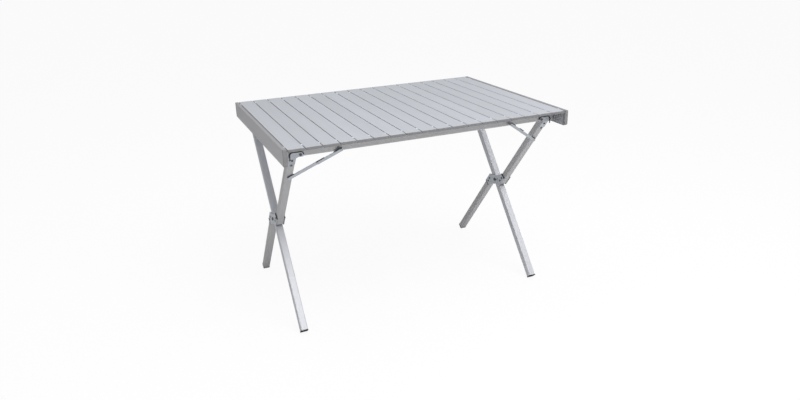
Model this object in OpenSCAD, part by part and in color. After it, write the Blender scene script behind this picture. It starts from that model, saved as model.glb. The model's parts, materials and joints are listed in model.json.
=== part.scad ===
// Roll-top camp table on a folding scissor frame.
// Millimetres. X is the table's length, Y its depth (front at -Y), Z up. The origin is on the floor,
// under the middle of the top. Each end of the frame has a through leg, which is one straight tube,
// and a split leg, whose two halves pass on either side of the through leg's hub.

/* [Table top] */
// Length over the two aprons
top_l = 980; // [950:5:1010]
// Depth, front edge to rear edge
top_w = 700; // [680:5:720]
// Height of the top surface above the floor
top_h = 670; // [660:5:680]
// Number of slats, each with its own node
slat_count = 18; // [18]
// Thickness of a slat
slat_t = 8; // [7:0.5:9]
// Gap beside each slat, the aprons included
slat_gap = 3; // [2.4:0.1:3.2]
// Wall of a hollow slat
slat_wall = 1.2; // [1:0.1:1.5]

/* [Aprons] */
// Thickness of an end apron
apron_t = 11; // [10:0.5:12]
// Height of an end apron, down from the top surface
apron_h = 52; // [48:1:56]
// Wall of the hollow apron extrusion
apron_wall = 1.6; // [1.2:0.1:2]
// Length of the cap that closes each end of an apron
cap_l = 12; // [10:1:16]

/* [Rails] */
// Depth of a rail tube
rail_d = 30; // [28:1:32]
// Height of a rail tube
rail_h = 34; // [32:1:35]
// How far a rail's outer face is set in from the edge of the top
rail_inset = 60; // [58:1:62]
// Wall of the rail and leg tubes
tube_wall = 1.8; // [1.5:0.1:2]

/* [Legs] */
// Side of the square leg tube
leg_s = 24; // [23:0.5:25]
// Angle of each leg from the vertical
leg_angle = 39.5; // [39.2:0.1:39.8]
// Distance of each leg's centre plane from the middle of the table
leg_x = 448; // [446:1:450]
// Height of the hub pivot above the floor
hub_z = 320.6; // [319:0.2:322]
// Offset of each half of the split leg from the hub pivot
split_offset = 25.5; // [25.2:0.1:26]

/* [Fold hardware] */
// How far inboard of the leg's centre plane the leg's fold pivot sits
fold_inset = 23; // [22:0.5:24]
// Height of the fold pivots and the brace pivots above a rail's underside
fold_rise = 6; // [6:0.2:7]
// Distance of the brace's rail pivot from the middle of the table
brace_rail_x = 299; // [297:1:301]
// Height of the brace's leg pivot above the floor
brace_leg_z = 540; // [538:1:542]
// Share of the brace that is its lower link
brace_split = 0.55; // [0.54:0.01:0.58]
// Width of a brace link
link_w = 9.6; // [9.4:0.2:10]

/* [Hidden] */
$fn = 32;
far = 2000;                       // longer than anything in the table
eps = 0.01;
slat_w = (top_l - 2 * apron_t - slat_gap) / slat_count - slat_gap;
slat_plug_t = 2;                  // depth of the plug that closes each end of a slat, flush with the edge
slat_x0 = -top_l / 2 + apron_t;   // left edge of the slatted field
slat_z = top_h - slat_t;
rest_gap = 0.2;                   // air between the slats and the rails they rest on
rail_front = top_w / 2 - rail_inset;
rail_top = slat_z - rest_gap;
rail_bottom = rail_top - rail_h;
rail_half_l = top_l / 2 - apron_t - 7;
tube_r = 3;
leg_top = rail_bottom - 1.5;
hub_y = split_offset / cos(leg_angle) / 2; // both upper legs then stand at the same depth from the middle
fold_x = leg_x - fold_inset;
pivot_z = rail_bottom + fold_rise;

running = 0.05;                   // radial clearance of every pin in its hole
pivot_r = 3;
rivet_r = 2;
head_t = 2;
pin_head_t = 1.2;
head_gap = 0.2;
plate_t = 2;
plate_gap = 0.3;
hub_pin_r = 4;
hub_plate_t = 2.5;
hub_half = leg_s / 2 + plate_gap; // inner face of a hub plate, from the leg's centre plane
hub_reach = 60;                   // half length of a hub plate along the leg
hub_rivets = [30, 48];
hub_slot_at = [10.5, 17.5];       // middle of the slot in a hub plate: off the leg's line, and up the leg
hub_slot_w = 3;
hub_slot_l = 14;
split_end = 20;                   // each half of the split leg stops this far from the pivot

foot_t = 3.5;
foot_flat = 1.5;                  // depth of the small flat that meets the floor
foot_proud = 0.5;
foot_plug_l = 22;
foot_face_z = (leg_s / 2 + foot_proud) * sin(leg_angle) - foot_flat;

link_t = 3;
link_eye = link_w / 2;
brace_pin_r = 2.5;
sleeve_r = 4;                     // spacing sleeve on a brace pin
link_seat_r = 4.2;
brace_rail_y = rail_front + 10.8; // far enough out for a straight link to clear the rail's lower edge
leg_half_y = leg_s / 2 / cos(leg_angle);
brace_leg_y = upper_y(brace_leg_z) + leg_half_y + link_eye * tan(leg_angle) + 0.3 + link_t / 2;
brace_dx = leg_x - brace_rail_x;
brace_dz = pivot_z - brace_leg_z;
brace_l = sqrt(pow(brace_dx, 2) + pow(brace_dz, 2));
brace_dir = atan2(brace_dz, brace_dx);
brace_slant = (brace_rail_y - brace_leg_y) / brace_l;
knuckle_y = brace_leg_y + brace_split * (brace_rail_y - brace_leg_y);
knuckle_layer = link_t / 2 + 0.2;
slat_names = [for (i = [1 : slat_count]) str("slat_", i < 10 ? "0" : "", i)];

// Distance from the middle plane, in Y, of a leg's upper centre line at height z. It is the same for
// the split leg (towards the front) and the through leg (towards the rear).
function upper_y(z) = (z - hub_z) * tan(leg_angle) + hub_y;

// ---------- shared shapes ----------

// Square with round corners, from squares and circles so that its edges stay true arcs.
module round_square(w, h, r) {
    square([w - 2 * r, h], center = true);
    square([w, h - 2 * r], center = true);
    for (sx = [-1, 1], sy = [-1, 1])
        translate([sx * (w / 2 - r), sy * (h / 2 - r)]) circle(r);
}

module tube_section(w, h, wall) {
    difference() {
        round_square(w, h, tube_r);
        round_square(w - 2 * wall, h - 2 * wall, tube_r - wall);
    }
}

// Cylinder along Y, from y0 to y1.
module along_y(r, y0, y1) {
    translate([0, y0, 0]) rotate([-90, 0, 0]) cylinder(r = r, h = y1 - y0);
}

// Cylinder along X, from x0 to x1.
module along_x(r, x0, x1) {
    translate([x0, 0, 0]) rotate([0, 90, 0]) cylinder(r = r, h = x1 - x0);
}

// Puts a left-hand part on the side given: -1 left, 1 right.
module on_side(side) {
    if (side < 0) children();
    else mirror([1, 0, 0]) children();
}

// Puts a front part at the end of the depth given: -1 front, 1 rear.
module at_edge(edge) {
    if (edge < 0) children();
    else mirror([0, 1, 0]) children();
}

// Frame of a left leg: origin at the hub pivot, +Z up the leg. kind -1 is the split leg, 1 the through leg.
module leg_frame(kind) {
    translate([-leg_x, hub_y, hub_z]) rotate([-kind * leg_angle, 0, 0]) children();
}

// Frame on the centre line of the upper leg at the front, with -Y square to its outer face.
module front_leg_frame() {
    translate([-leg_x, -hub_y, hub_z]) rotate([leg_angle, 0, 0]) children();
}

// Everything from height z up.
module above(z) {
    translate([-far / 2, -far / 2, z]) cube([far, far, far]);
}

// ---------- table top ----------

module slat(i) {
    rib = slat_wall;
    cell = (slat_w - 2 * slat_wall - rib) / 2;
    length = top_w - 2 * slat_plug_t;
    x = slat_x0 + slat_gap + slat_w / 2 + i * (slat_w + slat_gap);
    color("silver")
        translate([x, length / 2, slat_z + slat_t / 2]) rotate([90, 0, 0])
            linear_extrude(length)
                difference() {
                    round_square(slat_w, slat_t, 0.8);
                    for (s = [-1, 1])
                        translate([s * (cell + rib) / 2, 0])
                            square([cell, slat_t - 2 * slat_wall], center = true);
                }
}

apron_x = top_l / 2 - apron_t / 2;

module apron() {
    color("gray")
        translate([-apron_x, top_w / 2 - cap_l, top_h - apron_h / 2]) rotate([90, 0, 0])
            linear_extrude(top_w - 2 * cap_l)
                difference() {
                    square([apron_t, apron_h], center = true);
                    square([apron_t - 2 * apron_wall, apron_h - 2 * apron_wall], center = true);
                }
}

// Cap on an apron's open end, with a round lower corner and a tongue that fits in the extrusion.
module apron_cap() {
    corner_r = 9;
    tongue = 14;
    fit = 0.1;
    color("darkgray") {
        translate([-apron_x - apron_t / 2, -top_w / 2, top_h - apron_h])
            rotate([90, 0, 90]) linear_extrude(apron_t)
                intersection() {
                    square([cap_l, apron_h]);
                    union() {
                        translate([corner_r, 0]) square([cap_l - corner_r, apron_h]);
                        translate([0, corner_r]) square([cap_l, apron_h - corner_r]);
                        translate([corner_r, corner_r]) circle(corner_r);
                    }
                }
        inner_w = apron_t - 2 * apron_wall - 2 * fit;
        inner_h = apron_h - 2 * apron_wall - 2 * fit;
        translate([-apron_x - inner_w / 2, -top_w / 2 + cap_l - eps, top_h - apron_h / 2 - inner_h / 2])
            cube([inner_w, tongue, inner_h]);
    }
}

module apron_caps() {
    for (edge = [-1, 1]) at_edge(edge) apron_cap();
}

// Angle clip on the inner face of an apron, which locates the end of a rail.
module rail_clip() {
    clip_w = 16;
    clip_h = 24;
    clip_t = 1.6;
    lug = 4.5;
    inner_x = -top_l / 2 + apron_t;
    clip_y = -rail_front - 1 - clip_w;
    clip_z = rail_bottom + 2;
    rivet_z = clip_z + clip_h / 2;
    color("lightgray") {
        translate([inner_x, clip_y, clip_z]) cube([clip_t, clip_w, clip_h]);
        translate([inner_x, clip_y + clip_w - clip_t, clip_z]) cube([lug, clip_t, clip_h]);
        translate([0, clip_y + clip_w / 2 - 1, rivet_z])
            along_x(rivet_r + 1, inner_x + clip_t - eps, inner_x + clip_t + 1.2);
    }
}

module rail_clips() {
    for (edge = [-1, 1]) at_edge(edge) rail_clip();
}

// ---------- rails ----------

module rail() {
    mid_y = -rail_front + rail_d / 2;
    mid_z = (rail_top + rail_bottom) / 2;
    color("darkgray")
        difference() {
            translate([-rail_half_l, mid_y, mid_z]) rotate([90, 0, 90])
                linear_extrude(2 * rail_half_l) tube_section(rail_d, rail_h, tube_wall);
            for (s = [-1, 1], pin = [[fold_x, pivot_r], [brace_rail_x, brace_pin_r]])
                translate([s * pin[0], 0, pivot_z])
                    along_y(pin[1] + running, -rail_front - 1, -rail_front + tube_wall + 2);
        }
}

// Headed pins that carry the two leg brackets and the two brace links of one rail. A sleeve holds each
// link off the rail.
module rail_pins() {
    inner = -rail_front + tube_wall + head_gap;
    under_bracket_head = -rail_front - plate_gap - plate_t - head_gap;
    under_brace_head = -brace_rail_y - link_t / 2 - head_gap;
    sleeve_end = -brace_rail_y + link_t / 2 + sleeve_r * brace_slant + head_gap;
    tail = 1.5;
    color("dimgray")
        for (s = [-1, 1]) {
            for (pin = [[fold_x, pivot_r, under_bracket_head], [brace_rail_x, brace_pin_r, under_brace_head]])
                translate([s * pin[0], 0, pivot_z]) {
                    along_y(pin[1], pin[2] - eps, inner + tail);
                    along_y(pin[1] + 1.5, pin[2] - pin_head_t, pin[2]);
                    along_y(pin[1] + 0.5, inner, inner + tail);
                }
            translate([s * brace_rail_x, 0, pivot_z]) along_y(sleeve_r, sleeve_end, -rail_front - eps);
        }
}

// ---------- legs ----------

bracket_rivet_places = [for (z = [603, 622.5]) (z - hub_z) / cos(leg_angle)];
outer_face = -leg_s / 2;                       // of the upper leg, in its own frame
leg_face_y = -upper_y(brace_leg_z) - leg_half_y; // outer face at the height of the brace pivot

// Distance along the leg from the hub pivot to the end of the tube, for a tube this far off the pivot.
function foot_along(offset) = (foot_face_z - hub_z - offset * sin(leg_angle)) / cos(leg_angle) + foot_t;

// Holes for the hub rivets; dir 1 is the upper half of the split leg, -1 the lower half.
module hub_rivet_rows(dir, r, x0, x1) {
    for (z = hub_rivets)
        translate([0, -dir * split_offset, dir * z]) along_x(r, x0, x1);
}

// Cylinders square to the outer face of the front upper leg, at the bracket's two rivets.
module bracket_rivet_rows(r, y0, y1) {
    front_leg_frame()
        for (z = bracket_rivet_places)
            translate([0, 0, z]) along_y(r, y0, y1);
}

module brace_leg_pin(r, y0, y1) {
    translate([-leg_x, 0, brace_leg_z]) along_y(r, y0, y1);
}

// Holes that the bracket rivets and the brace pivot need in the outer wall of the front upper leg.
module leg_fixing_holes() {
    bracket_rivet_rows(rivet_r + running, outer_face - 1, outer_face + tube_wall + 1);
    brace_leg_pin(brace_pin_r + running, leg_face_y - 10, leg_face_y + 12);
}

module split_leg_upper() {
    color("gray")
        difference() {
            leg_frame(-1)
                translate([0, -split_offset, split_end]) linear_extrude(far / 4)
                    tube_section(leg_s, leg_s, tube_wall);
            above(leg_top);
            leg_frame(-1) hub_rivet_rows(1, rivet_r + running, -leg_s, leg_s);
            leg_fixing_holes();
        }
}

module split_leg_lower() {
    end_z = foot_along(split_offset);
    color("gray")
        difference() {
            leg_frame(-1)
                translate([0, split_offset, end_z]) linear_extrude(-split_end - end_z)
                    tube_section(leg_s, leg_s, tube_wall);
            leg_frame(-1) hub_rivet_rows(-1, rivet_r + running, -leg_s, leg_s);
        }
}

module through_leg() {
    end_z = foot_along(0);
    color("gray")
        difference() {
            leg_frame(1)
                translate([0, 0, end_z]) linear_extrude(far / 2)
                    tube_section(leg_s, leg_s, tube_wall);
            above(leg_top);
            leg_frame(1) along_x(hub_pin_r + running, -leg_s, leg_s);
            at_edge(1) leg_fixing_holes();
        }
}

// Black plug in the end of a leg. Its lowest corner is cut to a small flat that stands on the floor.
module foot(kind, offset) {
    side = leg_s + 2 * foot_proud;
    inner = leg_s - 2 * tube_wall - 0.3;
    color("black")
        intersection() {
            above(0);
            leg_frame(kind) translate([0, offset, foot_along(offset)]) {
                translate([0, 0, -foot_t]) linear_extrude(foot_t - 0.05)
                    round_square(side, side, tube_r);
                translate([0, 0, -foot_t / 2]) linear_extrude(foot_t / 2 + foot_plug_l)
                    round_square(inner, inner, tube_r - tube_wall);
            }
        }
}

// ---------- hubs ----------

// Radius of the circle through both ends of a chord, bowed by this sagitta.
function bow_radius(chord, sagitta) = (pow(chord / 2, 2) + pow(sagitta, 2)) / (2 * sagitta);

// Bow-tie outline of a hub plate: a pad over each half of the split leg, with hollow edges between.
module hub_outline() {
    outer_y = split_offset + leg_s / 2 + 0.5;
    inner_y = split_offset - leg_s / 2 - 0.5;
    shoulder = 15;
    sagitta = 6;
    chord = [inner_y + outer_y, -hub_reach - shoulder];
    r = bow_radius(norm(chord), sagitta);
    away = [chord[1], -chord[0]] / norm(chord);
    middle = [(inner_y - outer_y) / 2, (shoulder - hub_reach) / 2];
    difference() {
        polygon([[-outer_y, shoulder], [-outer_y, hub_reach], [-inner_y, hub_reach],
                 [outer_y, -shoulder], [outer_y, -hub_reach], [inner_y, -hub_reach]]);
        for (s = [-1, 1])
            translate(s * (middle + away * (r - sagitta))) circle(r, $fn = 128);
    }
}

module hub_plates() {
    color("lightsteelblue")
        leg_frame(-1)
            for (s = [-1, 1])
                translate([s * (hub_half + hub_plate_t / 2), 0, 0])
                    difference() {
                        rotate([90, 0, 90])
                            linear_extrude(hub_plate_t, center = true) hub_outline();
                        along_x(hub_pin_r + running, -hub_plate_t, hub_plate_t);
                        for (dir = [-1, 1])
                            hub_rivet_rows(dir, rivet_r + running, -hub_plate_t, hub_plate_t);
                        translate([0, -hub_slot_at[0], hub_slot_at[1]])
                            cube([2 * hub_plate_t, hub_slot_w, hub_slot_l], center = true);
                    }
}

module hub_pin() {
    reach = hub_half + hub_plate_t + head_gap;
    color("dimgray")
        leg_frame(-1) {
            along_x(hub_pin_r, -reach - head_t, reach + head_t);
            for (s = [-1, 1])
                translate([s * (reach + head_t / 2), 0, 0])
                    along_x(hub_pin_r + 2, -head_t / 2, head_t / 2);
        }
}

// ---------- rivets ----------

// The two bracket rivets and the brace pivot of one upper leg.
module leg_fixings() {
    under_head = outer_face - plate_gap - plate_t - head_gap;
    tail = outer_face + tube_wall;
    bracket_rivet_rows(rivet_r, under_head - eps, tail + 1.5);
    bracket_rivet_rows(rivet_r + 1.5, under_head - 1.2, under_head);
    brace_head = -brace_leg_y - link_t / 2 - head_gap;
    brace_leg_pin(brace_pin_r, brace_head - eps, leg_face_y + 9);
    brace_leg_pin(brace_pin_r + 1.5, brace_head - pin_head_t, brace_head);
    difference() {
        brace_leg_pin(sleeve_r, -brace_leg_y + link_t / 2 + head_gap, leg_face_y + sleeve_r);
        front_leg_frame() translate([-leg_s, outer_face - 0.05, 0]) cube([2 * leg_s, 2 * leg_s, far / 4]);
    }
}

module split_leg_rivets() {
    reach = hub_half + hub_plate_t + head_gap;
    color("dimgray") {
        leg_frame(-1)
            for (dir = [-1, 1]) {
                hub_rivet_rows(dir, rivet_r, -reach - 1, reach + 1);
                for (s = [-1, 1])
                    translate([s * (reach + 0.5), 0, 0]) hub_rivet_rows(dir, rivet_r + 1.5, -0.5, 0.5);
            }
        leg_fixings();
    }
}

module through_leg_rivets() {
    color("dimgray") at_edge(1) leg_fixings();
}

// ---------- leg brackets ----------

bracket_bottom = 594;
bracket_corner = 10;
bracket_under = rail_bottom - 0.6; // the arm stops here, so that it can turn beside the rail

// Front view of a bracket: an arm out to the fold pivot and a tongue down the leg.
module bracket_outline() {
    left = -leg_x - leg_s / 2 + 1;
    tongue = leg_s - 2;
    fillet = 5.5;
    right = left + tongue;
    arm_h = pivot_z - bracket_under;
    translate([left, bracket_bottom + 5]) square([tongue, pivot_z - bracket_bottom - 5]);
    translate([left + 5, bracket_bottom]) square([tongue - 10, 10]);
    for (x = [left + 5, right - 5])
        translate([x, bracket_bottom + 5]) circle(5);
    translate([left + bracket_corner, pivot_z]) circle(bracket_corner);
    translate([left + bracket_corner, bracket_under])
        square([-fold_x - left - bracket_corner, arm_h + bracket_corner]);
    intersection() {
        translate([-fold_x, pivot_z]) circle(bracket_corner);
        translate([-far / 2, bracket_under]) square(far);
    }
    difference() {
        translate([right - eps, bracket_under - fillet]) square([fillet, fillet + eps]);
        translate([right + fillet, bracket_under - fillet]) circle(fillet);
    }
}

// Side view of a bracket: flat on the rail's outer face, stepped in under the rail, then down the leg.
module bracket_profile() {
    slope = tan(leg_angle);
    out = plate_t / cos(leg_angle);
    gap = plate_gap / cos(leg_angle);
    face = function(z) -upper_y(z) - leg_half_y - gap;
    rail_face = -rail_front - plate_gap;
    step = bracket_under - plate_t - 0.5;
    low = bracket_bottom - 5;
    polygon([[rail_face, far / 2], [rail_face, bracket_under], [face(bracket_under), bracket_under],
             [face(low), low], [face(low) - out, low], [face(step) - out, step],
             [rail_face - plate_t, step], [rail_face - plate_t, far / 2]]);
}

module bracket() {
    color("lightsteelblue")
        difference() {
            intersection() {
                translate([-far / 2, 0, 0]) rotate([90, 0, 90]) linear_extrude(far) bracket_profile();
                translate([0, -top_w / 4, 0]) rotate([90, 0, 0]) linear_extrude(far / 4) bracket_outline();
            }
            translate([-fold_x, 0, pivot_z]) along_y(pivot_r + running, -top_w / 2, -top_w / 4);
            bracket_rivet_rows(rivet_r + running, outer_face - 5, outer_face + 1);
        }
}

// ---------- folding braces ----------

// One link in its own frame: pivots at the origin and at [len, 0], straight from Y layer y0 to y1, with
// the metal past each pivot square to the pins and a seat for the pin's head at the origin.
module link(len, y0, y1) {
    color("lightsteelblue")
        difference() {
            intersection() {
                linear_extrude(link_w, center = true)
                    polygon([for (side = [-1, 1], k = [0 : 3])
                        let (j = side < 0 ? k : 3 - k)
                            [[-link_w, 0, len, len + link_w][j],
                             [y0, y0, y1, y1][j] + side * link_t / 2]]);
                translate([0, far / 4, 0]) rotate([90, 0, 0]) linear_extrude(far / 2) {
                    translate([0, -link_eye]) square([len, link_w]);
                    for (x = [0, len])
                        translate([x, 0]) circle(link_eye);
                }
            }
            for (x = [0, len])
                translate([x, 0, 0]) along_y(brace_pin_r + running, -far / 4, far / 4);
            along_y(link_seat_r, -far / 4, y0 - link_t / 2);
        }
}

// Link from the rail to the knuckle, where it lies outside the lower link and carries a low-headed rivet.
module brace_upper() {
    len = brace_l * (1 - brace_split);
    knuckle = -knuckle_y - knuckle_layer;
    translate([-brace_rail_x, 0, pivot_z]) rotate([0, -brace_dir, 0]) mirror([1, 0, 0]) {
        link(len, -brace_rail_y, knuckle);
        color("dimgray")
            translate([len, 0, 0]) {
                along_y(brace_pin_r + running, knuckle - link_t / 2, knuckle + link_t / 2);
                along_y(brace_pin_r + 1.2, knuckle - link_t / 2 - 1, knuckle - link_t / 2);
            }
    }
}

// Link from the leg to the knuckle.
module brace_lower() {
    translate([-leg_x, 0, brace_leg_z]) rotate([0, -brace_dir, 0])
        link(brace_l * brace_split, -brace_leg_y, -knuckle_y + knuckle_layer);
}

// ---------- nodes ----------

for (i = [0 : slat_count - 1])
    slat(i);
on_side(-1) apron();  // left_apron
on_side(-1) apron_caps();  // left_apron_caps
on_side(-1) rail_clips();  // left_rail_clips
on_side(1) apron();  // right_apron
on_side(1) apron_caps();  // right_apron_caps
on_side(1) rail_clips();  // right_rail_clips
at_edge(-1) rail();  // front_rail
at_edge(-1) rail_pins();  // front_rail_pins
at_edge(1) rail();  // rear_rail
at_edge(1) rail_pins();  // rear_rail_pins
on_side(-1) split_leg_upper();  // left_split_leg_upper
on_side(-1) split_leg_lower();  // left_split_leg_lower
on_side(-1) through_leg();  // left_through_leg
on_side(-1) hub_plates();  // left_hub_plates
on_side(-1) hub_pin();  // left_hub_pin
on_side(-1) split_leg_rivets();  // left_split_leg_rivets
on_side(-1) through_leg_rivets();  // left_through_leg_rivets
on_side(-1) foot(1, 0);  // left_front_foot
on_side(-1) foot(-1, split_offset);  // left_rear_foot
on_side(-1) at_edge(-1) bracket();  // left_front_bracket
on_side(-1) at_edge(-1) brace_upper();  // left_front_brace_upper
on_side(-1) at_edge(-1) brace_lower();  // left_front_brace_lower
on_side(-1) at_edge(1) bracket();  // left_rear_bracket
on_side(-1) at_edge(1) brace_upper();  // left_rear_brace_upper
on_side(-1) at_edge(1) brace_lower();  // left_rear_brace_lower
on_side(1) split_leg_upper();  // right_split_leg_upper
on_side(1) split_leg_lower();  // right_split_leg_lower
on_side(1) through_leg();  // right_through_leg
on_side(1) hub_plates();  // right_hub_plates
on_side(1) hub_pin();  // right_hub_pin
on_side(1) split_leg_rivets();  // right_split_leg_rivets
on_side(1) through_leg_rivets();  // right_through_leg_rivets
on_side(1) foot(1, 0);  // right_front_foot
on_side(1) foot(-1, split_offset);  // right_rear_foot
on_side(1) at_edge(-1) bracket();  // right_front_bracket
on_side(1) at_edge(-1) brace_upper();  // right_front_brace_upper
on_side(1) at_edge(-1) brace_lower();  // right_front_brace_lower
on_side(1) at_edge(1) bracket();  // right_rear_bracket
on_side(1) at_edge(1) brace_upper();  // right_rear_brace_upper
on_side(1) at_edge(1) brace_lower();  // right_rear_brace_lower
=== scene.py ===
"""Looks of the roll-top camp table: finishes, soft edges, plugs, cords, black strips of painted shadow and
studio.
"""
import json
import math

import bmesh
import bpy
from mathutils import Matrix, Vector


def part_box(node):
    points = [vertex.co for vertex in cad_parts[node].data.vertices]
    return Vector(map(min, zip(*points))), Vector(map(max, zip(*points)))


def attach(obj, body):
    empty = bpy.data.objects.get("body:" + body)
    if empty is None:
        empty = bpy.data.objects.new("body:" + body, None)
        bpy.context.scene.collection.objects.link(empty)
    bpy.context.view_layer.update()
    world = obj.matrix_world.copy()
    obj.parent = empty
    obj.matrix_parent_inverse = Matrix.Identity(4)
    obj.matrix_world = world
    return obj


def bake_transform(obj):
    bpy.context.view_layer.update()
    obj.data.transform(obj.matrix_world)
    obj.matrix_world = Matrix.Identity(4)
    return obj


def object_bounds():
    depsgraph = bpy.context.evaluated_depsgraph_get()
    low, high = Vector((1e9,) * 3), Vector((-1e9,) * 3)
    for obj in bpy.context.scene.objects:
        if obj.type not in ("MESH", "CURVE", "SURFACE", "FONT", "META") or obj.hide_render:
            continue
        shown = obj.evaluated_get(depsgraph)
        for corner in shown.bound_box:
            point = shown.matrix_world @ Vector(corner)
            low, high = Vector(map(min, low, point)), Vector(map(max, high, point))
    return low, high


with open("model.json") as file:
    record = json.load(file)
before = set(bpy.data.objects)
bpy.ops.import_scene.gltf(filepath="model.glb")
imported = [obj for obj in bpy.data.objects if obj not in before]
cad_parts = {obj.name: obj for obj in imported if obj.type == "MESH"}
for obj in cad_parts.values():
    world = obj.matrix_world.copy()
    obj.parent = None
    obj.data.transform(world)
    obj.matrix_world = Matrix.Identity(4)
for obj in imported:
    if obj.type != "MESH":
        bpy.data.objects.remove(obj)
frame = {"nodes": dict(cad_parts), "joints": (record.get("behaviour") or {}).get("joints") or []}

MM = 0.001
SHARP_ANGLE = math.radians(35)
cad_lo, cad_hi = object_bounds()
nodes = frame["nodes"]
joints = {j["name"]: j for j in frame["joints"]}
SIDES = (("left", -1), ("right", 1))
EDGES = (("front", -1), ("rear", 1))
SLATS = sorted(n for n in nodes if n.startswith("slat_"))


# ---------- materials ----------

class Graph:
    """A small helper that builds one material's node tree."""

    def __init__(self, name):
        self.material = bpy.data.materials.new(name)
        self.material.use_nodes = True
        self.tree = self.material.node_tree
        self.tree.nodes.clear()
        self.output = self.tree.nodes.new("ShaderNodeOutputMaterial")
        self.shader = self.tree.nodes.new("ShaderNodeBsdfPrincipled")
        self.tree.links.new(self.shader.outputs[0], self.output.inputs[0])
        self.place = self.tree.nodes.new("ShaderNodeTexCoord").outputs["Object"]

    def link(self, source, target):
        self.tree.links.new(source, target)

    def put(self, socket, value):
        """Sets an input from a number, a colour or another node's output."""
        if isinstance(value, bpy.types.NodeSocket):
            self.link(value, socket)
        else:
            socket.default_value = value

    def maths(self, operation, a, b=0.0, clamp=False):
        node = self.tree.nodes.new("ShaderNodeMath")
        node.operation = operation
        node.use_clamp = clamp
        self.put(node.inputs[0], a)
        self.put(node.inputs[1], b)
        return node.outputs[0]

    def vector(self, operation, a, b=None, scale=None):
        node = self.tree.nodes.new("ShaderNodeVectorMath")
        node.operation = operation
        self.put(node.inputs[0], a)
        if b is not None:
            self.put(node.inputs[1], b)
        if scale is not None:
            self.put(node.inputs["Scale"], scale)
        return node.outputs["Value"] if operation == "DOT_PRODUCT" else node.outputs[0]

    def along(self, axis, fine, coarse):
        """Coordinates that run fast across an axis and slowly along it, for extrusion grain."""
        reach = self.vector("DOT_PRODUCT", self.place, axis)
        drawn = self.vector("SCALE", axis, scale=self.maths("MULTIPLY", reach, fine - coarse))
        return self.vector("SUBTRACT", self.vector("SCALE", self.place, scale=fine), drawn)

    def noise(self, coordinates, scale, detail=3.0, rough=0.5):
        node = self.tree.nodes.new("ShaderNodeTexNoise")
        self.put(node.inputs["Vector"], coordinates)
        node.inputs["Scale"].default_value = scale
        node.inputs["Detail"].default_value = detail
        node.inputs["Roughness"].default_value = rough
        return node.outputs["Fac"]

    def spread(self, value, low, high, start=0.0, end=1.0):
        node = self.tree.nodes.new("ShaderNodeMapRange")
        self.put(node.inputs["Value"], value)
        for key, number in (("From Min", start), ("From Max", end), ("To Min", low), ("To Max", high)):
            node.inputs[key].default_value = number
        return node.outputs[0]

    def tint(self, colour, factor):
        """A colour multiplied by a grey factor."""
        return self.vector("SCALE", colour, scale=factor)

    def mix(self, factor, a, b):
        node = self.tree.nodes.new("ShaderNodeMix")
        node.data_type = "RGBA"
        self.put(node.inputs["Factor"], factor)
        self.put(node.inputs["A"], (*a, 1.0) if isinstance(a, tuple) else a)
        self.put(node.inputs["B"], (*b, 1.0) if isinstance(b, tuple) else b)
        return node.outputs["Result"]

    def bump(self, height, strength, distance):
        node = self.tree.nodes.new("ShaderNodeBump")
        node.inputs["Strength"].default_value = strength
        node.inputs["Distance"].default_value = distance
        self.link(height, node.inputs["Height"])
        return node.outputs[0]

    def worn_edge(self, radius):
        """1 near a convex or concave edge, 0 on open faces."""
        bevel = self.tree.nodes.new("ShaderNodeBevel")
        bevel.samples = 8
        bevel.inputs["Radius"].default_value = radius
        face = self.tree.nodes.new("ShaderNodeNewGeometry").outputs["Normal"]
        same = self.vector("DOT_PRODUCT", bevel.outputs[0], face)
        return self.spread(same, 1.0, 0.0, 0.75, 0.99)

    def finish(self, colour, rough, normal, metallic=0.0, specular=0.5):
        self.put(self.shader.inputs["Base Color"], colour)
        self.put(self.shader.inputs["Roughness"], rough)
        self.put(self.shader.inputs["Metallic"], metallic)
        self.put(self.shader.inputs["Specular IOR Level"], specular)
        self.link(normal, self.shader.inputs["Normal"])
        return self.material


def anodised(name, colour, axis, rough=0.42, tone_spread=0.0, metallic=0.75):
    """Drawn aluminium with a satin anodised coat: lengthwise grain, faint smudges, pale worn edges."""
    g = Graph(name)
    grain = g.noise(g.along(axis, 900.0, 14.0), 1.0, 4.0, 0.6)
    streak = g.noise(g.along(axis, 160.0, 2.5), 1.0, 2.0)
    cloud = g.noise(g.place, 9.0, 3.0)
    tone = g.maths("MULTIPLY", g.spread(grain, 0.97, 1.03), g.spread(streak, 0.96, 1.04))
    tone = g.maths("MULTIPLY", tone, g.spread(cloud, 0.97, 1.03))
    if tone_spread:
        chance = g.tree.nodes.new("ShaderNodeObjectInfo").outputs["Random"]
        tone = g.maths("MULTIPLY", tone, g.spread(chance, 1.0 - tone_spread, 1.0 + tone_spread))
    pale = tuple(min(1.0, c * 1.25) for c in colour)
    shade = g.mix(g.maths("MULTIPLY", g.worn_edge(0.0008), 0.5), g.tint(colour, tone), pale)
    gloss = g.maths("ADD", g.spread(streak, rough - 0.05, rough + 0.05), g.spread(grain, -0.05, 0.05))
    return g.finish(shade, gloss, g.bump(grain, 0.05, 0.0002), metallic=metallic)


def plated(name, colour):
    """Zinc-plated pressed steel: mottled bluish grey, rubbed edges."""
    g = Graph(name)
    crystals = g.noise(g.place, 420.0, 5.0, 0.65)
    mottle = g.noise(g.place, 70.0, 3.0)
    tone = g.maths("MULTIPLY", g.spread(crystals, 0.9, 1.1), g.spread(mottle, 0.9, 1.1))
    edge = g.maths("MULTIPLY", g.worn_edge(0.0007), 0.6)
    shade = g.mix(edge, g.tint(colour, tone), (0.72, 0.75, 0.80))
    return g.finish(shade, g.spread(mottle, 0.26, 0.42), g.bump(crystals, 0.1, 0.0002), metallic=0.85)


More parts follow.
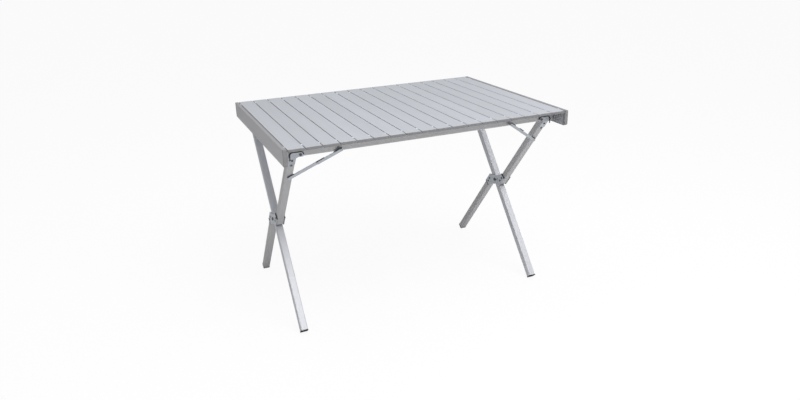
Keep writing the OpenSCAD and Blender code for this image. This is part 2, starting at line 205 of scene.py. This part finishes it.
def dark_steel(name, colour):
    """Rivets and pins: oiled dark steel with bright rubbed rims."""
    g = Graph(name)
    grit = g.noise(g.place, 900.0, 4.0)
    edge = g.maths("MULTIPLY", g.worn_edge(0.0006), 0.35)
    shade = g.mix(edge, g.tint(colour, g.spread(grit, 0.8, 1.2)), (0.45, 0.46, 0.48))
    return g.finish(shade, g.spread(grit, 0.3, 0.5), g.bump(grit, 0.15, 0.0002), metallic=0.8)


def moulded(name, colour, rough):
    """Moulded plastic or rubber: fine spark-eroded grain and a slight bloom of dust."""
    g = Graph(name)
    skin = g.noise(g.place, 1500.0, 3.0, 0.6)
    dust = g.noise(g.place, 60.0, 4.0)
    pale = tuple(min(1.0, c * 1.6 + 0.02) for c in colour)
    shade = g.mix(g.spread(dust, 0.0, 0.35, 0.45, 0.8), g.tint(colour, g.spread(skin, 0.92, 1.08)), pale)
    gloss = g.spread(skin, rough - 0.07, rough + 0.07)
    return g.finish(shade, gloss, g.bump(skin, 0.35, 0.0003), specular=0.4)


def braided(name, colour):
    """Elastic cord with a braided sleeve."""
    g = Graph(name)
    weave = g.tree.nodes.new("ShaderNodeTexWave")
    weave.wave_type = "BANDS"
    weave.bands_direction = "DIAGONAL"
    weave.inputs["Scale"].default_value = 700.0
    weave.inputs["Distortion"].default_value = 1.5
    g.link(g.place, weave.inputs["Vector"])
    fibre = weave.outputs["Fac"]
    return g.finish(g.tint(colour, g.spread(fibre, 0.8, 1.1)), 0.8, g.bump(fibre, 0.6, 0.0003))


LEG_ANGLE = math.radians(39.5)          # of each leg from the vertical
SPLIT_OFFSET = 25.5 * MM                # of each half of a split leg from its hub's pivot
ALONG_X = (1.0, 0.0, 0.0)
ALONG_Y = (0.0, 1.0, 0.0)
ALONG_SPLIT = (0.0, math.sin(LEG_ANGLE), -math.cos(LEG_ANGLE))
ALONG_THROUGH = (0.0, -math.sin(LEG_ANGLE), -math.cos(LEG_ANGLE))
TUBE_GREY = (0.45, 0.45, 0.46)

SLAT = anodised("slat_anodised", (0.54, 0.56, 0.60), ALONG_Y, 0.54, 0.035, metallic=0.45)
APRON = anodised("apron_anodised", (0.47, 0.47, 0.49), ALONG_Y, 0.46)
RAIL = anodised("rail_anodised", TUBE_GREY, ALONG_X)
SPLIT_LEG = anodised("split_leg_anodised", TUBE_GREY, ALONG_SPLIT, 0.5, metallic=0.4)
# Painted light: the through legs get a paler, cooler grey than the split legs' TUBE_GREY, standing in for
# the stronger light on their front-up faces.
THROUGH_LEG = anodised("through_leg_anodised", (0.53, 0.54, 0.57), ALONG_THROUGH, 0.5, metallic=0.4)
PLATED = plated("zinc_plate", (0.44, 0.465, 0.50))
DARK = dark_steel("dark_steel", (0.10, 0.10, 0.105))
END_PLASTIC = moulded("slat_plug_plastic", (0.20, 0.20, 0.205), 0.5)
CAP_PLASTIC = moulded("apron_cap_plastic", (0.22, 0.22, 0.225), 0.45)
RUBBER = moulded("foot_rubber", (0.012, 0.012, 0.012), 0.6)
# Near-black strips that stand in for the shadow in the gaps round the brackets, hub plates and braces:
# painted shadow.
SHADOW_STRIP_BLACK = moulded("painted_shadow_strip", (0.018, 0.018, 0.019), 0.55)
PLUG_PLASTIC = moulded("tube_plug_plastic", (0.03, 0.03, 0.032), 0.5)
CORD = braided("cord_braid", (0.62, 0.64, 0.69))


def finish_for(node):
    """The material of one CAD node, from its name."""
    if node in SLATS:
        return SLAT
    if node.endswith("_apron"):
        return APRON
    if node.endswith("_apron_caps"):
        return CAP_PLASTIC
    if node.endswith("_rail"):
        return RAIL
    if node.endswith("_foot"):
        return RUBBER
    if "rivets" in node or "pin" in node:
        return DARK
    if "split_leg" in node:
        return SPLIT_LEG
    if "through_leg" in node:
        return THROUGH_LEG
    return PLATED


def soften_edges(obj, width):
    """Rounds the sharp edges of a CAD node with a bevel modifier."""
    modifier = obj.modifiers.new("edge", "BEVEL")
    modifier.width = width
    modifier.segments = 2
    modifier.limit_method = "ANGLE"
    modifier.angle_limit = SHARP_ANGLE
    modifier.harden_normals = True


def edge_radius(node):
    """Width of the softened edges of one CAD node."""
    if "rivets" in node or "pin" in node:
        return 0.4 * MM
    if node.endswith("_foot"):
        return 0.6 * MM
    if node in SLATS:
        return 0.15 * MM
    return 0.35 * MM


INBOARD_OF_BRACKETS = 360 * MM
BRACE_LEG_PIN_LOW = 500 * MM
BRACE_LEG_PIN_HIGH = 570 * MM


def on_brace_pin(polygon):
    """True on the brace pins: well inboard of the brackets on a rail, or low on an upper leg."""
    centre = polygon.center
    return abs(centre.x) < INBOARD_OF_BRACKETS or BRACE_LEG_PIN_LOW < centre.z < BRACE_LEG_PIN_HIGH


def dress_cad_nodes():
    """Gives every CAD node its finish and soft edges. The brace pins are plated, the other pins dark."""
    for name, obj in nodes.items():
        obj.data.materials.clear()
        obj.data.materials.append(finish_for(name))
        if name.endswith("_pins") or name.endswith("leg_rivets"):
            obj.data.materials.append(PLATED)
            for polygon in obj.data.polygons:
                polygon.material_index = 1 if on_brace_pin(polygon) else 0
        soften_edges(obj, edge_radius(name))


# ---------- mesh helpers ----------

def new_piece(name, build, material, body=None):
    """Makes an object from a bmesh that build fills, gives it a material and hangs it on a body."""
    mesh = bpy.data.meshes.new(name)
    bm = bmesh.new()
    build(bm)
    bmesh.ops.recalc_face_normals(bm, faces=bm.faces)
    bm.to_mesh(mesh)
    bm.free()
    obj = bpy.data.objects.new(name, mesh)
    bpy.context.scene.collection.objects.link(obj)
    mesh.materials.append(material)
    for polygon in mesh.polygons:
        polygon.use_smooth = True
    mesh.set_sharp_from_angle(angle=SHARP_ANGLE)
    if body:
        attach(obj, body)
    return obj


def round_block(bm, centre, size, radius, segments=3, turn=None):
    """A closed block with rounded edges, added to bm."""
    made = bmesh.ops.create_cube(bm, size=1.0)["verts"]
    bmesh.ops.scale(bm, vec=size, verts=made)
    edges = list({e for v in made for e in v.link_edges})
    result = bmesh.ops.bevel(bm, geom=edges, offset=radius, segments=segments, profile=0.5,
                             affect="EDGES", clamp_overlap=True)
    verts = list({v for f in result["faces"] for v in f.verts})
    if turn is not None:
        bmesh.ops.rotate(bm, cent=(0, 0, 0), matrix=turn, verts=verts)
    bmesh.ops.translate(bm, vec=centre, verts=verts)


def ribbon(bm, path, width, layers):
    """A closed strip outside a path of (x, z) points. layers gives its two Y faces at each point."""
    sections = []
    for i, (x, z) in enumerate(path):
        back, ahead = path[max(i - 1, 0)], path[min(i + 1, len(path) - 1)]
        along = Vector((ahead[0] - back[0], ahead[1] - back[1])).normalized()
        outer = (x - along[1] * width, z + along[0] * width)
        near, far = layers[i]
        corners = ((x, near, z), (outer[0], near, outer[1]), (outer[0], far, outer[1]), (x, far, z))
        sections.append([bm.verts.new(c) for c in corners])
    for a, b in zip(sections, sections[1:]):
        for k in range(4):
            bm.faces.new((a[k], a[(k + 1) % 4], b[(k + 1) % 4], b[k]))
    bm.faces.new(sections[0])
    bm.faces.new(list(reversed(sections[-1])))


def arc(centre, radius, start, end, steps=8):
    """Points on a circle in the XZ plane, angles in degrees."""
    turns = [math.radians(start + (end - start) * k / steps) for k in range(steps + 1)]
    return [(centre[0] + radius * math.cos(t), centre[1] + radius * math.sin(t)) for t in turns]


# ---------- table top ----------

def slat_end_plugs():
    """Grey plug on each end of every slat, flush with the front or rear edge of the top."""
    lip = 0.25 * MM
    least_depth = 0.8 * MM
    rounding = 0.35 * MM
    for name in SLATS:
        lo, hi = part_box(name)
        middle = (lo + hi) / 2
        size = hi - lo

        def build(bm):
            for edge, slat_y in ((cad_lo.y, lo.y), (cad_hi.y, hi.y)):
                depth = max(abs(edge - slat_y), least_depth)
                centre = (middle.x, edge + (depth / 2 if edge < 0 else -depth / 2), middle.z)
                round_block(bm, centre, (size.x - lip, depth, size.z - lip), rounding)
        new_piece(name + "_end_plugs", build, END_PLASTIC, name)


def gap_cords():
    """Twin elastic cords that cross each gap between slats, near the front and rear edges."""
    chain = ["left_apron"] + SLATS + ["right_apron"]
    inset = 39 * MM
    radius = 2.4 * MM
    apart = 2.5 * MM
    tuck = 0.15 * MM
    below_top = 0.25 * MM
    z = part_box(SLATS[0])[1].z - radius - below_top
    for body_a, body_b in zip(chain, chain[1:]):
        lo_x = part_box(body_a)[1].x
        hi_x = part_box(body_b)[0].x

        def build(bm):
            for y in (cad_lo.y + inset, cad_hi.y - inset):
                for side in (-1, 1):
                    place = Matrix.Translation(((lo_x + hi_x) / 2, y + side * apart, z))
                    turn = Matrix.Rotation(math.pi / 2, 4, "Y")
                    bmesh.ops.create_cone(bm, cap_ends=True, segments=20, radius1=radius, radius2=radius,
                                          depth=hi_x - lo_x + 2 * tuck, matrix=place @ turn)
        cord = new_piece("cord_" + body_a + "_" + body_b, build, CORD)
        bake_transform(cord)


# ---------- frame ----------

def rail_end_plugs():
    """Dark plug in each open end of both rails, with a raised centre panel."""
    flange = 2.2 * MM
    for edge, _ in EDGES:
        name = edge + "_rail"
        lo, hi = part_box(name)
        middle = (lo + hi) / 2
        size = hi - lo

        def build(bm):
            for x, way in ((lo.x, -1), (hi.x, 1)):
                centre = (x + way * flange / 2, middle.y, middle.z)
                round_block(bm, centre, (flange, size.y - 0.6 * MM, size.z - 0.6 * MM), 0.7 * MM)
                panel = (x + way * (flange + 0.1 * MM), middle.y, middle.z)
                round_block(bm, panel, (0.8 * MM, size.y - 9 * MM, size.z - 9 * MM), 0.3 * MM)
        new_piece(name + "_end_plugs", build, PLUG_PLASTIC, name)


def hub_tube_plugs():
    """Black plugs in the two tube ends of each split leg, beside the hub."""
    flange = 2.0 * MM
    side_l = 23.4 * MM
    end_along = 20 * MM
    turn = Matrix.Rotation(LEG_ANGLE, 3, "X")
    for side, _ in SIDES:
        hub = Vector(joints[side + "_hub"]["pos_m"])

        def build(bm):
            for half in (1, -1):
                local = Vector((0, -half * SPLIT_OFFSET, half * (end_along - flange / 2)))
                round_block(bm, hub + turn @ local, (side_l, side_l, flange), 0.6 * MM, turn=turn)
                panel = Vector((0, -half * SPLIT_OFFSET, half * (end_along - flange - 0.1 * MM)))
                round_block(bm, hub + turn @ panel, (14 * MM, 14 * MM, 0.8 * MM), 0.3 * MM, turn=turn)
        new_piece(side + "_split_leg_tube_plugs", build, PLUG_PLASTIC, side + "_split_leg")


def hub_shadow_strips():
    """Black strip over the end of each pad of the hub plates: painted shadow for the dark gap between the
    plate and the tube end.
    """
    pad_end = 60.4 * MM
    size = (3.5 * MM, 25.4 * MM, 2.6 * MM)
    proud = 0.7 * MM
    turn = Matrix.Rotation(LEG_ANGLE, 3, "X")
    for side, _ in SIDES:
        hub = Vector(joints[side + "_hub"]["pos_m"])
        lo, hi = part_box(side + "_hub_plates")
        reach = (hi.x - lo.x) / 2 + proud - size[0] / 2

        def build(bm):
            for half in (1, -1):
                for way in (1, -1):
                    local = Vector((way * reach, -half * SPLIT_OFFSET, half * pad_end))
                    # painted shadow: a black block where the gap between plate and tube lies in shade
                    round_block(bm, hub + turn @ local, size, 0.5 * MM, turn=turn)
        new_piece(side + "_hub_strips", build, SHADOW_STRIP_BLACK, side + "_split_leg")


def bracket_shadow_strips():
    """Black strip on the face of each leg bracket, round its upper edge: painted shadow for the dark gap
    behind the bracket's top edge.
    """
    width = 3.4 * MM
    overhang = 1.2 * MM
    corner = 10 * MM
    inner = corner + overhang - width
    drop = 16 * MM
    proud = 0.8 * MM
    sunk = 0.4 * MM
    for side, sx in SIDES:
        pivot = joints[side + "_legs_fold"]["pos_m"]
        for edge, ey in EDGES:
            lo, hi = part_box(side + "_" + edge + "_bracket")
            outboard = max(abs(lo.x), abs(hi.x))
            face = max(abs(lo.y), abs(hi.y))
            path = [(corner - outboard - inner, pivot[2] - drop)]
            path += arc((corner - outboard, pivot[2]), inner, 180, 90)
            path += arc((-abs(pivot[0]), pivot[2]), inner, 90, 0)
            flat = [(sx * -x, z) for x, z in path]
            if sx > 0:
                flat.reverse()
            layers = [(ey * (face + proud), ey * (face - sunk))] * len(flat)

            def build(bm):
                # painted shadow: a black ribbon along the bracket's shaded upper edge
                ribbon(bm, flat, width, layers)
            body = side + ("_split_leg" if edge == "front" else "_through_leg")
            new_piece(side + "_" + edge + "_bracket_strip", build, SHADOW_STRIP_BLACK, body)


LINK_T = 3 * MM
KNUCKLE_SHARE = 0.55                    # of the brace's length that is its lower link
KNUCKLE_LAYER = 1.7 * MM                # of each link off the knuckle's middle plane


def brace_shadow_strips():
    """Black strips on the upper edge of each brace, over the leg, at the knuckle and over the rail:
    painted shadow for the dark gaps round the brace's ends.
    """
    width = 2.6 * MM
    inner = 4.2 * MM
    proud = 0.7 * MM
    sunk = 1.6 * MM
    for side, sx in SIDES:
        for edge, ey in EDGES:
            stem = side + "_" + edge + "_brace_"
            rail = Vector(joints[stem + "rail_pivot"]["pos_m"])
            leg = Vector(joints[stem + "leg_pivot"]["pos_m"])
            upper_box, lower_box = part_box(stem + "upper"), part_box(stem + "lower")
            rail_y = max(abs(upper_box[0].y), abs(upper_box[1].y)) - LINK_T / 2
            leg_y = min(abs(lower_box[0].y), abs(lower_box[1].y)) + LINK_T / 2
            knuckle_y = leg_y + KNUCKLE_SHARE * (rail_y - leg_y)
            run = Vector((abs(rail.x) - abs(leg.x), rail.z - leg.z))
            length = run.length
            direction = run / length
            up = Vector((direction[1], -direction[0]))
            if up[1] < 0:
                up = -up
            knuckle = length * KNUCKLE_SHARE
            lower_slope = (knuckle_y - KNUCKLE_LAYER - leg_y) / knuckle
            upper_slope = (rail_y - knuckle_y - KNUCKLE_LAYER) / (length - knuckle)

            def strip(bm, spans, layer_at):
                path, layers = [], []
                for u in spans:
                    spot = Vector((abs(leg.x), leg.z)) + direction * u + up * inner
                    path.append((sx * spot[0], spot[1]))
                    y = layer_at(u)
                    layers.append((ey * (y + LINK_T / 2 + proud), ey * (y + LINK_T / 2 - sunk)))
                if (path[-1][0] - path[0][0]) < 0:
                    path.reverse()
                    layers.reverse()
                ribbon(bm, path, width, layers)

            # painted shadow: black ribbons along the shaded upper edges of the brace links
            def build_lower(bm):
                strip(bm, (-3 * MM, 8 * MM, 20 * MM), lambda u: leg_y + lower_slope * u)

            def build_upper(bm):
                def layer(u):
                    return rail_y - upper_slope * (length - u)
                strip(bm, (knuckle - 4 * MM, knuckle + 10 * MM, knuckle + 24 * MM), layer)
                strip(bm, (length - 24 * MM, length - 10 * MM, length + 4 * MM), layer)
            new_piece(stem + "lower_strip", build_lower, SHADOW_STRIP_BLACK, stem + "lower")
            new_piece(stem + "upper_strips", build_upper, SHADOW_STRIP_BLACK, stem + "upper")


# ---------- camera, light, floor ----------

CAMERA_PLACE = (-0.9216, -2.2055, 1.2299)
CAMERA_ANGLES = (-23.02, 20.96, 1.59)   # azimuth, elevation and roll in degrees
CAMERA_LENS = 30.93
SENSOR_WIDTH = 36.0


def studio_camera():
    """The camera, at the angle from which the front left corner of the table is nearest."""
    azimuth, elevation, roll = (math.radians(a) for a in CAMERA_ANGLES)
    forward = Vector((math.sin(-azimuth) * math.cos(elevation),
                      math.cos(azimuth) * math.cos(elevation), -math.sin(elevation)))
    right = forward.cross(Vector((0, 0, 1))).normalized()
    up = right.cross(forward)
    turned_right = right * math.cos(roll) - up * math.sin(roll)
    turned_up = up * math.cos(roll) + right * math.sin(roll)
    data = bpy.data.cameras.new("camera")
    data.sensor_width = SENSOR_WIDTH
    data.lens = CAMERA_LENS
    camera = bpy.data.objects.new("camera", data)
    bpy.context.scene.collection.objects.link(camera)
    rotation = Matrix((turned_right, turned_up, -forward)).transposed()
    camera.matrix_world = Matrix.Translation(CAMERA_PLACE) @ rotation.to_4x4()
    bpy.context.scene.camera = camera


SOFTBOXES = (
    ("key", (0.75, -1.9, 2.9), (0, 0, 0.4), (2.4, 1.8), 66),
    ("fill", (-2.2, -2.4, 1.7), (0, 0, 0.4), (1.8, 1.8), 7),
    ("top", (-0.2, -0.2, 3.0), (0, 0, 0.5), (2.6, 1.6), 20))


def softbox(name, where, target, size, power):
    """A white rectangular area light that faces a target."""
    light = bpy.data.lights.new(name, "AREA")
    light.shape = "RECTANGLE"
    light.size, light.size_y = size
    light.energy = power
    obj = bpy.data.objects.new(name, light)
    bpy.context.scene.collection.objects.link(obj)
    obj.location = where
    aim = Vector(target) - Vector(where)
    obj.rotation_euler = aim.to_track_quat("-Z", "Y").to_euler()


def studio_floor():
    """A wide flat floor, which is no part of the table."""
    mesh = bpy.data.meshes.new("floor")
    reach = 30.0
    corners = [(-reach, -reach, 0), (reach, -reach, 0), (reach, reach, 0), (-reach, reach, 0)]
    mesh.from_pydata(corners, [], [(0, 1, 2, 3)])
    floor = bpy.data.objects.new("floor", mesh)
    bpy.context.scene.collection.objects.link(floor)
    mesh.materials.append(floor_paper())


def studio_world():
    """White to the camera; to everything else, dimmer low down and dimmer on the left."""
    world = bpy.data.worlds.new("studio")
    world.use_nodes = True
    tree = world.node_tree
    tree.nodes.clear()

    def node(kind, **settings):
        made = tree.nodes.new(kind)
        for key, value in settings.items():
            setattr(made, key, value)
        return made
    split = node("ShaderNodeSeparateXYZ")
    tree.links.new(node("ShaderNodeTexCoord").outputs["Generated"], split.inputs[0])
    parts = []
    for axis, ends, levels in (("Z", (0.0, 0.7), (0.36, 0.68)), ("X", (-1.0, 0.6), (0.6, 1.0))):
        ramp = node("ShaderNodeMapRange")
        tree.links.new(split.outputs[axis], ramp.inputs["Value"])
        for key, number in zip(("From Min", "From Max", "To Min", "To Max"), ends + levels):
            ramp.inputs[key].default_value = number
        parts.append(ramp.outputs[0])
    light = node("ShaderNodeMath", operation="MULTIPLY")
    tree.links.new(parts[0], light.inputs[0])
    tree.links.new(parts[1], light.inputs[1])
    seen = node("ShaderNodeMath", operation="MAXIMUM")
    tree.links.new(light.outputs[0], seen.inputs[0])
    tree.links.new(node("ShaderNodeLightPath").outputs["Is Camera Ray"], seen.inputs[1])
    background = node("ShaderNodeBackground")
    background.inputs["Color"].default_value = (1.0, 1.0, 1.0, 1.0)
    tree.links.new(seen.outputs[0], background.inputs["Strength"])
    tree.links.new(background.outputs[0], node("ShaderNodeOutputWorld").inputs[0])
    return world


def floor_paper():
    """Seamless white paper: mostly a flat white to the camera, with a trace of the real shadows."""
    material = moulded("floor_paper", (0.85, 0.85, 0.85), 0.9)
    tree = material.node_tree
    output = tree.nodes["Material Output"]
    paper = output.inputs[0].links[0].from_socket
    glow = tree.nodes.new("ShaderNodeEmission")
    mix = tree.nodes.new("ShaderNodeMixShader")
    share = tree.nodes.new("ShaderNodeMath")
    share.operation = "MULTIPLY"
    share.inputs[1].default_value = 0.92
    tree.links.new(tree.nodes.new("ShaderNodeLightPath").outputs["Is Camera Ray"], share.inputs[0])
    tree.links.new(share.outputs[0], mix.inputs[0])
    tree.links.new(paper, mix.inputs[1])
    tree.links.new(glow.outputs[0], mix.inputs[2])
    tree.links.new(mix.outputs[0], output.inputs[0])
    return material


dress_cad_nodes()
slat_end_plugs()
gap_cords()
rail_end_plugs()
hub_tube_plugs()
hub_shadow_strips()
bracket_shadow_strips()
brace_shadow_strips()

studio_camera()
for box in SOFTBOXES:
    softbox(*box)
bpy.context.scene.world = studio_world()
studio_floor()
bpy.context.scene.view_settings.view_transform = "Standard"
